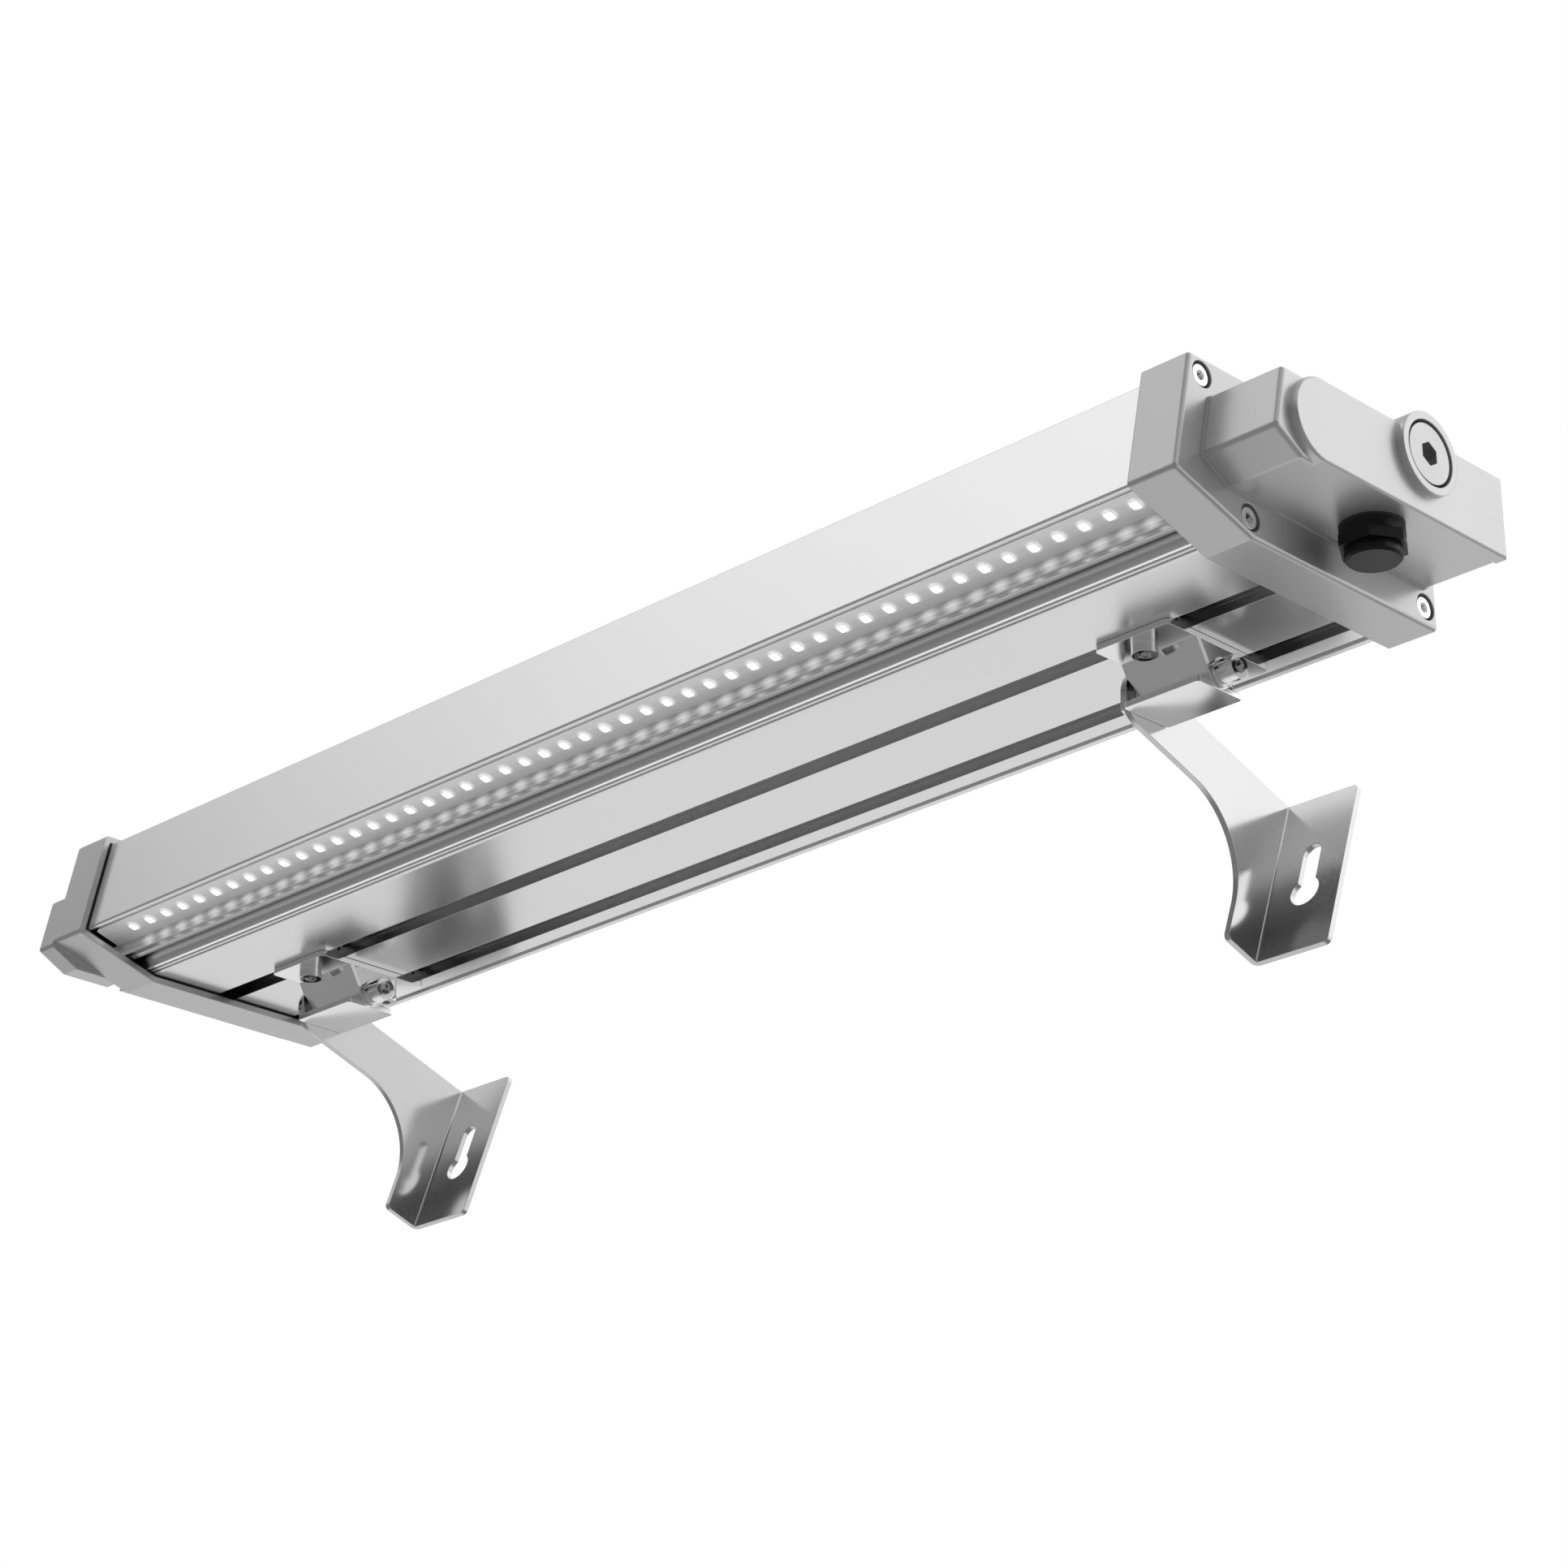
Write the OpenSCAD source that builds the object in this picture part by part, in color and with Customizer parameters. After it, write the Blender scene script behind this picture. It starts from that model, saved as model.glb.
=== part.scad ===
// Linear outdoor wall washer light on two tilting wall brackets.
// Origin: on the wall, midway between the round holes of the two keyholes.
// +X runs along the light, +Y points into the wall, +Z is up.

/* [Wall brackets] */
// Distance from the housing's ends to the wall screws
bracket_inset = 62.75; // [60:0.25:110]
// Distance from the wall to the pivot axis
arm_reach = 74; // [73:0.5:90]
// Height of the pivot axis above the wall screws
pivot_rise = 29; // [26:0.5:36]
// Thickness of the bracket sheet
sheet_t = 2; // [1.5:0.1:3]
// Height of the bracket arm
arm_h = 20; // [16:0.5:21]
// Width of the wall flange
flange_w = 30; // [26:0.5:40]
// Length of the flange below the wall screw
flange_drop = 24; // [18:0.5:40]
// Depth of the arm where it runs down the wall
gusset_w = 16.5; // [12:0.5:20]
// Radius of the hollow under the arm
gusset_r = 29; // [22:0.5:30]
// Radius of the free corners of the sheet
corner_r = 2; // [0.5:0.1:4]
// Inside radius of the bend
bend_r = 0.6; // [0.5:0.1:2]
// Distance from the arm's outer face to the keyhole
keyhole_inset = 16.3; // [13:0.1:18]
// Radius of the keyhole's round hole
keyhole_r = 5.5; // [4.8:0.1:6.5]
// Width of the keyhole's slot
keyslot_w = 7; // [5:0.1:7]
// Distance from the round hole to the slot's seat
keyslot_len = 15.5; // [12:0.5:20]

/* [Tilt] */
// Tilt of the mounting face above level, as pictured
tilt = 20; // [0:1:60]
// Distance from the pivot axis to the mounting face
pivot_drop = 11; // [10.8:0.1:13]

/* [Housing profile] */
// Length of the extruded housing
body_len = 533.5; // [500:0.5:700]
// Sideways place of the housing on its clips
housing_shift = 1.5; // [-10:0.5:10]
// Height from the mounting face to the top
body_h = 46.5; // [44:0.5:60]
// Width of the mounting face
mount_w = 87.3; // [84:0.1:100]
// Distance from the pivot axis to the housing's back
body_back = 34.8; // [33:0.1:36]
// Width of the sloping face that holds the light row
led_face_w = 34; // [33.8:0.1:38]
// Slope of the light row's face
led_angle = 17.3; // [14:0.1:19]
// Lean of the front face off the upright
front_lean = 12.6; // [8:0.1:14]
// Wall thickness of the profile
wall = 2.2; // [1.8:0.1:2.6]
// Radius of the profile's outer edges
edge_r = 0.8; // [0.4:0.1:1]

/* [Slots for the clips] */
// Distance between the two slots
slot_pitch = 36.6; // [35:0.1:38]
// Opening of each slot
slot_open = 8.4; // [7:0.1:9]
// Thickness of the slot's lips
slot_lip = 3.5; // [2.6:0.1:3.8]
// Width inside the slot
slot_inner_w = 15; // [13:0.1:15.4]
// Height inside the slot
slot_inner_h = 5.5; // [4.8:0.1:6]

/* [Light channel] */
// Width of the channel's front lip
channel_front = 1.5; // [1.4:0.1:2]
// Width of the channel at the face
channel_w = 19.4; // [18:0.1:19.8]
// Depth of the channel below the face
channel_d = 7.4; // [7:0.1:8.4]
// Flare of the channel's rear wall
channel_flare = 0.9; // [0:0.1:1.2]
// Depth of the clear cover below the face
cover_set = 2.2; // [1.6:0.1:2.6]
// Thickness of the clear cover
cover_t = 2; // [1.5:0.1:2.2]
// Distance between light sources
led_pitch = 10; // [8:0.1:14]
// Distance from the housing's ends to the first and last light sources
led_margin = 21.75; // [16:0.25:30]
// Side of a light source
led_side = 3.3; // [2.8:0.1:5]
// Height of a light source
led_h = 0.6; // [0.4:0.1:0.9]
// Width of the circuit board
board_w = 10.5; // [9:0.1:11]
// Thickness of the circuit board
board_t = 1; // [0.8:0.1:1.2]
// Distance from the face's front edge to the board
board_inset = 8.1; // [7:0.1:8.4]
// Distance from the board's front edge to the light sources
led_inset = 4.3; // [3.6:0.1:5]

/* [End caps] */
// Step from the profile's faces out to the caps' faces
cap_step = 3; // [2.6:0.1:4]
// Thickness of the caps' skirts
skirt_t = 2.4; // [2:0.1:2.5]
// Length of the caps' skirts
skirt_len = 12; // [8:0.5:20]
// Thickness of the caps' end walls
cap_plate = 6; // [6:0.1:8]
// Radius of the caps' edges
cap_r = 1.4; // [0.6:0.1:1.6]
// Thickness of the gaskets under the caps
gasket_t = 1; // [0.5:0.1:1.6]
// Radius of the cap screws
cap_screw_r = 2; // [1.5:0.1:2]
// Radius of the cap screws' heads
cap_head_r = 3.5; // [3:0.1:3.8]
// Radius of the recesses for the cap screws' heads
cap_recess_r = 4.4; // [4:0.1:4.4]
// Height of the raised pad on the left cap
left_pad_h = 7.8; // [5:0.1:12]

/* [Connection box] */
// Depth of the box at its front strip
box_d = 27.5; // [26:0.5:36]
// Height of the raised pad on the box's outer face
pad_h = 2.8; // [1.8:0.1:4]
// Height of the box
box_h = 27.4; // [26:0.1:29]
// Distance from the housing's top to the box's top
box_top = 9.4; // [8.6:0.1:11]
// Step from the housing's front face to the box's front face
box_front = 7.6; // [6:0.1:9]
// Width of the slope under the box's front
box_slope_w = 12; // [10:0.1:13]
// Angle of the slope under the box's front
box_slope_angle = 28.3; // [20:0.1:32]
// Distance from the box's front to the centre of the pad's round end
pad_front = 18.4; // [16:0.1:24]
// Wall thickness of the box
box_wall = 3; // [2.6:0.1:3.4]
// Radius of the box's edges
box_r = 1.6; // [1:0.1:2]
// Radius of the round boss for the screw plug
boss_r = 13.4; // [12.6:0.1:13.4]
// Height of the boss above the raised pad
boss_step = 2.5; // [1:0.1:4]
// Radius of the screw plug
plug_r = 9.9; // [9.7:0.1:10.2]
// Width of the ring gap around the screw plug
seat_gap = 1; // [0.9:0.1:1.2]
// Width across the flats of the plug's socket
plug_socket = 7; // [5:0.5:10]
// Radius of the thread in the cable entry
entry_r = 8; // [7:0.1:8.4]
// Radius of the blanking plug's collar
collar_r = 10; // [9.4:0.1:10.5]

/* [Clips] */
// Width of a clip
clip_w = 30; // [28:0.5:36]
// Length of a clip's base plate
clip_len = 50; // [48:0.5:56]
// Sheet thickness of a clip
clip_t = 2; // [1.5:0.1:2.2]
// Depth of a clip below its base plate
clip_drop = 15; // [13.8:0.1:15.5]
// Distance from the pivot axis to the front of a clip's lower plate
web_front = 11.5; // [10.5:0.1:12]
// Distance from the pivot axis to the rear of a clip's lower plate
web_back = 10; // [9:0.1:12]
// Lean of a clip's web off the upright
web_lean = 29; // [22:0.5:30]
// Half the width of a clip's cheek
cheek_r = 5.4; // [5:0.1:5.6]
// Radius of the tube round the pivot bolt
tube_r = 4.6; // [4.4:0.1:4.8]
// Radius of the clip and pivot bolts
bolt_r = 2.5; // [2:0.1:2.6]
// Radius of the bolts' heads
bolt_head_r = 4.25; // [4:0.05:4.5]
// Height of the pivot bolts' heads
bolt_head_h = 5; // [4:0.1:5.5]
// Height of the clip screws' heads
clip_head_h = 4; // [3:0.1:5]
// Width across the flats of the bolts' sockets
bolt_socket = 4; // [3:0.1:4.4]
// Width across the flats of the pivot nuts
nut_flats = 8; // [7:0.1:9]
// Radius of the washers
washer_r = 5; // [4.8:0.1:5.4]
// Thickness of the washers
washer_t = 1; // [0.8:0.1:1.4]
// Thickness of the spring washers under the pivot bolts' heads
spring_t = 1.3; // [1:0.1:1.6]

/* [Hidden] */
$fn = 64;

// Overrun of cuts, and clearances of fixed fits, turning fits and sliding faces
over = 0.5;
fit = 0.05;
run = 0.1;
face_gap = 0.1;
skin_t = 0.02;

// Outline helpers: every outline runs anticlockwise
function unit(v) = v / norm(v);
function left_of(v) = [-v[1], v[0]];
function last_pt(pts, i) = pts[(i + len(pts) - 1) % len(pts)];
function next_pt(pts, i) = pts[(i + 1) % len(pts)];
function in_before(pts, i) = left_of(unit(pts[i] - last_pt(pts, i)));
function in_after(pts, i) = left_of(unit(next_pt(pts, i) - pts[i]));
function corner_in(a, b, d, e) = [d * b[1] - e * a[1], e * a[0] - d * b[0]] / cross(a, b);

// The point d inside the edge before corner i and e inside the edge after it
function inside(pts, i, d, e) = pts[i] + corner_in(in_before(pts, i), in_after(pts, i), d, e);
function inset(pts, d) = [for (i = [0 : len(pts) - 1]) inside(pts, i, d, d)];

// Corners rounded to radius r, each in a few steps
round_steps = 5;
function angle_of(v) = atan2(v[1], v[0]);
function sweep(a, b) = (angle_of(b) - angle_of(a) + 720) % 360;
function rounded(pts, r) = [for (i = [0 : len(pts) - 1])
    let (from = angle_of(-in_before(pts, i)),
         turn = sweep(-in_before(pts, i), -in_after(pts, i)),
         centre = inside(pts, i, r, r))
    for (k = [0 : round_steps])
        centre + r * [cos(from + turn * k / round_steps), sin(from + turn * k / round_steps)]];

// An outline in Y and Z, drawn along X from x0 to x1
module drawn(x0, x1) {
    translate([x0, 0, 0])
        rotate([90, 0, 90])
            linear_extrude(height = x1 - x0)
                children();
}

// A round bar along X from x0 to x1 about the point at = [y, z]
module bar(x0, x1, r, at = [0, 0]) {
    translate([x0, at[0], at[1]])
        rotate([0, 90, 0])
            cylinder(h = x1 - x0, r = r);
}

// A six-sided bar along X, sized across its flats
module hex_bar(x0, x1, flats, at = [0, 0]) {
    translate([x0, at[0], at[1]])
        rotate([0, 90, 0])
            cylinder(h = x1 - x0, r = flats / 2 / cos(30), $fn = 6);
}

// A ring along X
module ring_x(x0, x1, outer, inner, at = [0, 0]) {
    difference() {
        bar(x0, x1, outer, at);
        bar(x0 - over, x1 + over, inner, at);
    }
}

// A block between two opposite corners
module block(low, high) {
    translate(low)
        cube(high - low);
}

// A prism along X with corners of radius corner and its x1 end rounded to radius r
module soft_prism(pts, x0, x1, corner, r) {
    hull() {
        drawn(x0, x0 + skin_t)
            polygon(rounded(pts, corner));
        for (k = [0 : round_steps])
            let (a = 90 * k / round_steps, d = r * (1 - cos(a)))
                drawn(x1 - r * (1 - sin(a)) - skin_t, x1 - r * (1 - sin(a)))
                    polygon(rounded(inset(pts, d), corner - d + skin_t));
    }
}

// A socket head screw along X: its head runs from x0 by h, and its shank ends at x1
module head_screw(x0, x1, r, head_r, h, socket, at = [0, 0]) {
    way = sign(x1 - x0);
    difference() {
        union() {
            bar(min(x0, x1), max(x0, x1), r, at);
            bar(min(x0, x0 + way * h), max(x0, x0 + way * h), head_r, at);
        }
        hex_bar(min(x0 - way * over, x0 + way * h / 2), max(x0 - way * over, x0 + way * h / 2),
            socket, at);
    }
}

// Each bracket's own frame has its keyhole at x = 0
hole_spacing = body_len - 2 * bracket_inset;
bracket_x = [-hole_spacing / 2, hole_spacing / 2];
module at_bracket(i) {
    translate([bracket_x[i], 0, 0])
        children();
}

// Inside on_pivot and in_housing the pivot axis is the line y = 0, z = 0
module on_pivot() {
    translate([0, -arm_reach, pivot_rise])
        rotate([tilt, 0, 0])
            children();
}
module in_housing() {
    translate([housing_shift, 0, 0])
        on_pivot()
            children();
}

// Wall brackets: bent sheet with a keyhole
arm_x0 = -keyhole_inset;
arm_x1 = arm_x0 + sheet_t;
bend_out = bend_r + sheet_t;
arm_top = pivot_rise + arm_h / 2;

module arm_2d() {
    translate([-arm_reach, pivot_rise])
        circle(r = arm_h / 2);
    translate([-arm_reach, pivot_rise - arm_h / 2])
        square([arm_reach, arm_h]);
    difference() {
        translate([-gusset_w - gusset_r, arm_top - arm_h - gusset_r])
            square([gusset_w + gusset_r, gusset_r]);
        translate([-gusset_w - gusset_r, arm_top - arm_h - gusset_r])
            circle(r = gusset_r);
    }
    translate([-gusset_w, -flange_drop + corner_r])
        square([gusset_w, arm_top - arm_h + flange_drop - corner_r]);
    translate([-gusset_w + corner_r, -flange_drop])
        square([gusset_w - corner_r, corner_r]);
    translate([-gusset_w + corner_r, -flange_drop + corner_r])
        circle(r = corner_r);
}

module flange_2d() {
    difference() {
        translate([arm_x0 + bend_out, -flange_drop])
            square([flange_w - bend_out, flange_drop + arm_top]);
        for (z = [-flange_drop, arm_top - corner_r])
            translate([arm_x0 + flange_w - corner_r, z])
                square([corner_r + over, corner_r]);
        circle(r = keyhole_r);
        translate([-keyslot_w / 2, 0])
            square([keyslot_w, keyslot_len]);
        translate([0, keyslot_len])
            circle(r = keyslot_w / 2);
    }
    for (z = [-flange_drop + corner_r, arm_top - corner_r])
        translate([arm_x0 + flange_w - corner_r, z])
            circle(r = corner_r);
}

// Quarter ring that joins the arm to the flange
module bend() {
    tall = flange_drop + arm_top;
    translate([arm_x0 + bend_out, -bend_out, -flange_drop])
        intersection() {
            difference() {
                cylinder(h = tall, r = bend_out);
                translate([0, 0, -over])
                    cylinder(h = tall + 2 * over, r = bend_r);
            }
            translate([-bend_out, 0, 0])
                cube([bend_out, bend_out, tall]);
        }
}

module bracket() {
    color("#d4d5d7") {
        difference() {
            drawn(arm_x0, arm_x1)
                difference() {
                    arm_2d();
                    translate([-bend_out, -flange_drop - over])
                        square([bend_out + over, flange_drop + arm_top + 2 * over]);
                }
            bar(arm_x0 - over, arm_x1 + over, bolt_r + fit, [-arm_reach, pivot_rise]);
        }
        rotate([90, 0, 0])
            linear_extrude(height = sheet_t)
                flange_2d();
        bend();
    }
}
module bracket_left() {
    at_bracket(0)
        bracket();
}
module bracket_right() {
    at_bracket(1)
        bracket();
}

// Pivot bolts, washers and nuts; each bolt's head is beyond the clip
clip_x0 = arm_x1 + face_gap;
clip_x1 = clip_x0 + clip_w;
nut_h = 4;
bolt_spare = 1;
nut_x1 = arm_x0 - washer_t;
spring_x = clip_x1 + face_gap + washer_t;
spring_r = bolt_head_r - fit;
spring_split = 0.8;
pivot_head_x = spring_x + spring_t + bolt_head_h;
bolt_tip_x = nut_x1 - nut_h - bolt_spare;

module pivot_bolts() {
    color("#cfd0d2")
        for (i = [0, 1])
            at_bracket(i)
                on_pivot()
                    head_screw(pivot_head_x, bolt_tip_x, bolt_r, bolt_head_r, bolt_head_h, bolt_socket);
}

module pivot_washers() {
    color("#d8d9da")
        for (i = [0, 1], x = [nut_x1, clip_x1 + face_gap])
            at_bracket(i)
                on_pivot()
                    ring_x(x, x + washer_t, washer_r, bolt_r + fit);
}

module spring_washers() {
    color("#c2c3c5")
        for (i = [0, 1])
            at_bracket(i)
                on_pivot()
                    difference() {
                        ring_x(spring_x, spring_x + spring_t, spring_r, bolt_r + fit);
                        block([spring_x - over, -spring_r - over, -spring_split / 2],
                            [spring_x + spring_t + over, 0, spring_split / 2]);
                    }
}

module pivot_nuts() {
    color("#c8c9cb")
        for (i = [0, 1])
            at_bracket(i)
                on_pivot()
                    difference() {
                        hex_bar(nut_x1 - nut_h, nut_x1, nut_flats);
                        bar(nut_x1 - nut_h - over, nut_x1 + over, bolt_r + fit);
                    }
}

// Clips: a base plate under the mounting face, and a leaning web, a lower plate, a cheek
// beside the bracket and a tube round the pivot bolt
mount_z = pivot_drop;
base_z1 = mount_z - face_gap;
base_z0 = base_z1 - clip_t;
channel_z = base_z0 - clip_drop;
slot_y = [-slot_pitch / 2, slot_pitch / 2];
screw_x = (clip_x0 + clip_x1) / 2;
bevel_w = 3.8;
bevel_h = 9.2;
web_depth = base_z0 - channel_z;
lower_r = 1.2;

// A plate outline between two corners, with its corners rounded to radius r
module plate_2d(low, high, r) {
    polygon(rounded([low, [high[0], low[1]], high, [low[0], high[1]]], r));
}

// Cross-section of the web, which leans back from the base plate down to the lower plate
module web_2d() {
    foot = -web_front + web_depth * tan(web_lean);
    across = clip_t / cos(web_lean);
    polygon([[-web_front, base_z0], [foot, channel_z], [foot + across, channel_z],
        [-web_front + across, base_z0]]);
}

// The web with the bevel at its lower left corner
module web() {
    z0 = channel_z + clip_t;
    difference() {
        drawn(clip_x0, clip_x1)
            web_2d();
        translate([0, web_back, 0])
            rotate([90, 0, 0])
                linear_extrude(height = web_front + web_back + over)
                    polygon([[clip_x0 - over, z0 + bevel_h], [clip_x0 - over, z0],
                        [clip_x0 + bevel_w, z0], [clip_x0, z0 + bevel_h]]);
    }
}

module clip() {
    color("#dcdddf")
        difference() {
            union() {
                translate([0, 0, base_z0])
                    linear_extrude(height = clip_t)
                        plate_2d([clip_x0, -clip_len / 2], [clip_x1, clip_len / 2], corner_r);
                translate([0, 0, channel_z])
                    linear_extrude(height = clip_t)
                        plate_2d([clip_x0, -web_front], [clip_x1, web_back], lower_r);
                web();
                block([clip_x0, -cheek_r, channel_z], [clip_x0 + clip_t, cheek_r, base_z0]);
                bar(clip_x0, clip_x1, tube_r);
            }
            bar(clip_x0 - over, clip_x1 + over, bolt_r + run);
            for (y = slot_y)
                translate([screw_x, y, base_z0 - over])
                    cylinder(h = clip_t + 2 * over, r = bolt_r + fit);
        }
}
module clip_left() {
    at_bracket(0)
        on_pivot()
            clip();
}
module clip_right() {
    at_bracket(1)
        on_pivot()
            clip();
}

// Screws and plate nuts that hold the clips in the slots
plate_nut_h = 4;
plate_nut_len = 14;
plate_nut_play = 0.5;
nut_z0 = mount_z + slot_lip + face_gap;

module clip_screws() {
    color("#cfd0d2")
        for (i = [0, 1], y = slot_y)
            at_bracket(i)
                on_pivot()
                    translate([screw_x, y, 0])
                        rotate([0, -90, 0])
                            head_screw(base_z0 - clip_head_h, nut_z0 + plate_nut_h,
                                bolt_r, bolt_head_r, clip_head_h, bolt_socket);
}

module slot_nuts() {
    nut_y = slot_inner_w / 2 - plate_nut_play;
    color("#a9aaad")
        for (i = [0, 1], y = slot_y)
            at_bracket(i)
                on_pivot()
                    translate([screw_x, y, nut_z0])
                        difference() {
                            block([-plate_nut_len / 2, -nut_y, 0], [plate_nut_len / 2, nut_y, plate_nut_h]);
                            translate([0, 0, -over])
                                cylinder(h = plate_nut_h + 2 * over, r = bolt_r + fit);
                        }
}

// Outline of the housing
top_z = mount_z + body_h;
led_dir = [cos(led_angle), -sin(led_angle)];
led_in = [sin(led_angle), cos(led_angle)];
mount_corner = [body_back - mount_w, mount_z];
front_low = mount_corner - led_dir * led_face_w;
front_top = [front_low[0] + (top_z - front_low[1]) * tan(front_lean), top_z];
body_pts = [mount_corner, [body_back, mount_z], [body_back, top_z], front_top, front_low];
cap_pts = inset(body_pts, -cap_step);
half = body_len / 2;

// Screw ports, set in from the faces beside each corner
port_inset = 3;
port_mount_inset = 3.6;
port_front_inset = 3.7;
port_r = 3.4;
ports = [
    inside(body_pts, 0, port_inset, port_mount_inset),
    inside(body_pts, 1, port_mount_inset, port_inset),
    inside(body_pts, 2, port_inset, port_inset),
    inside(body_pts, 3, port_inset, port_front_inset)
];

// A place on the light row's face: s along it from its front edge, d below it
function led_at(s, d) = front_low + led_dir * s + led_in * d;
channel_rear = channel_front + channel_w;
seal_t = 0.4;
groove_w = 0.8;
groove_d0 = cover_set - seal_t;
groove_d1 = cover_set + cover_t + seal_t;
function rear_s(d) = channel_rear - channel_flare * d / channel_d;
tape_t = 0.2;
board_d1 = channel_d - tape_t;
board_d0 = board_d1 - board_t;

// Grooves beside the channel and near the back edge
light_lip = 2;
hollow_w = 6.6;
hollow_d = 1.8;
hollow_r = (hollow_w * hollow_w / 4 + hollow_d * hollow_d) / (2 * hollow_d);
hollow_s = channel_rear + light_lip + hollow_w / 2;
bright_lip = 1;
line_w = 0.8;
line_d = 0.6;
line_s = hollow_s + hollow_w / 2 + bright_lip;
rear_line_w = 2.4;
rear_line_d = 0.8;
rear_line_inset = 2.9;
slot_wall = 2;
shelf_z = mount_z + slot_lip + slot_inner_h + slot_wall;
floor_t = 2.2;

// A band of the light row's face from s0 to s1 and from depth d0 to d1
module led_band_2d(s0, s1, d0, d1) {
    polygon([led_at(s0, d0), led_at(s1, d0), led_at(s1, d1), led_at(s0, d1)]);
}

module channel_2d() {
    polygon([led_at(channel_front, -over), led_at(rear_s(-over), -over),
        led_at(rear_s(channel_d), channel_d), led_at(channel_front, channel_d)]);
    led_band_2d(channel_front - groove_w, rear_s(groove_d0) + groove_w, groove_d0, groove_d1);
}

module slot_2d(y) {
    translate([y - slot_open / 2, mount_z - over])
        square([slot_open, slot_lip + 2 * over]);
    translate([y - slot_inner_w / 2, mount_z + slot_lip])
        square([slot_inner_w, slot_inner_h]);
}

module cavity_2d() {
    difference() {
        polygon(inset(body_pts, wall));
        for (y = slot_y)
            translate([y - slot_inner_w / 2 - slot_wall, mount_z])
                square([slot_inner_w + 2 * slot_wall, shelf_z - mount_z]);
        led_band_2d(-over, line_s + 3 * line_w, -over, hollow_d + floor_t);
        led_band_2d(-over, channel_rear + floor_t, -over, channel_d + floor_t);
        for (p = ports)
            translate(p)
                circle(r = port_r);
    }
}

module grooves_2d() {
    translate(led_at(hollow_s, hollow_d - hollow_r))
        circle(r = hollow_r);
    for (k = [0, 2])
        led_band_2d(line_s + k * line_w, line_s + (k + 1) * line_w, -over, line_d);
    translate([body_back - rear_line_inset - rear_line_w, mount_z - over])
        square([rear_line_w, rear_line_d + over]);
}

// Hole that takes the light row's leads down to the board
feed_r = 2.6;
feed_inset = 40.75;
feed_x = half - feed_inset;
feed_s = board_inset + board_w / 2;

// Children placed on the light row's face, with +Z running into the housing
module on_led_face(x, s, d) {
    translate([x, led_at(s, d)[0], led_at(s, d)[1]])
        rotate([-led_angle, 0, 0])
            children();
}

module housing_profile() {
    color("#c9cacc")
        in_housing()
            difference() {
                drawn(-half, half)
                    difference() {
                        polygon(rounded(body_pts, edge_r));
                        cavity_2d();
                        channel_2d();
                        grooves_2d();
                        for (y = slot_y)
                            slot_2d(y);
                        for (p = ports)
                            translate(p)
                                circle(r = cap_screw_r + fit);
                    }
                on_led_face(feed_x, feed_s, channel_d - over)
                    cylinder(h = floor_t + 2 * over, r = feed_r);
            }
}

// End caps, drawn for the right end
module left_end() {
    mirror([1, 0, 0])
        children();
}
plate_x = half + gasket_t;
cap_x1 = plate_x + cap_plate;
skirt_x = plate_x - skirt_len;
recess_d = 4.6;
cap_head_h = 4;
cap_screw_len = 20;
cap_socket = 3;

// The hollow for the profile, and the holes for the screws with recesses that open at x1
module cap_cuts(x1) {
    drawn(skirt_x - over, plate_x)
        polygon(inset(cap_pts, skirt_t));
    for (p = ports) {
        bar(plate_x - over, x1 + over, cap_screw_r + fit, p);
        bar(cap_x1 - recess_d, x1 + over, cap_recess_r, p);
    }
}

// Outline shared by the connection box and the raised pad on the left cap
function front_y(z) = front_top[0] - (top_z - z) * tan(front_lean);
slope_h = box_slope_w * tan(box_slope_angle);
box_back_inset = 2;
box_y1 = body_back - box_back_inset;
function box_outline(step, z0, z1) = [
    [front_y(z0 + slope_h) + step + box_slope_w, z0],
    [box_y1, z0],
    [box_y1, z1],
    [front_y(z1) + step, z1],
    [front_y(z0 + slope_h) + step, z0 + slope_h]
];
box_z1 = top_z - box_top;
box_z0 = box_z1 - box_h;
box_pts = box_outline(box_front, box_z0, box_z1);
left_pad_drop = 9.4;
left_pad_pts = box_outline(-cap_step / cos(front_lean), box_z0 - left_pad_drop, box_z1 - left_pad_drop);

module end_cap_left() {
    color("#b9babd")
        in_housing()
            left_end()
                difference() {
                    union() {
                        soft_prism(cap_pts, skirt_x, cap_x1, cap_r + fit, cap_r);
                        soft_prism(left_pad_pts, cap_x1 - cap_r, cap_x1 + left_pad_h, cap_r + fit, cap_r);
                    }
                    cap_cuts(cap_x1 + left_pad_h);
                }
}

// Places inside the connection box
lead_count = 3;
lead_pitch = 5.5;
lead_back = 21.8;
lead_up = 9.7;
lead_r = 1.2;
lead_y = [for (k = [0 : lead_count - 1]) box_y1 - lead_back + k * lead_pitch];
lead_z = box_z0 + box_wall + lead_up;
grommet_at = [lead_y[1], lead_z];
grommet_r = 8;
box_gasket_t = 0.8;
gasket_proud = 0.3;
box_x0 = cap_x1 + box_gasket_t;
box_x1 = cap_x1 + box_d;
front_post = [8, 7];
back_post = [5.3, 6.1];
posts = [box_pts[4] + front_post, inside(box_pts, 2, back_post[0], back_post[1])];
post_r = 4;
box_screw_r = 2;
box_head_r = 3.6;
box_head_h = 2.4;
box_screw_len = 10;
block_gap = 4;

module end_cap_right() {
    color("#b9babd")
        in_housing()
            difference() {
                soft_prism(cap_pts, skirt_x, cap_x1, cap_r + fit, cap_r);
                cap_cuts(cap_x1);
                bar(plate_x - over, cap_x1 + over, grommet_r, grommet_at);
                for (p = posts) {
                    bar(plate_x - over, cap_x1 + over, box_screw_r + fit, p);
                    bar(plate_x - over, plate_x + box_head_h, box_head_r + fit, p);
                }
            }
}

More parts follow.
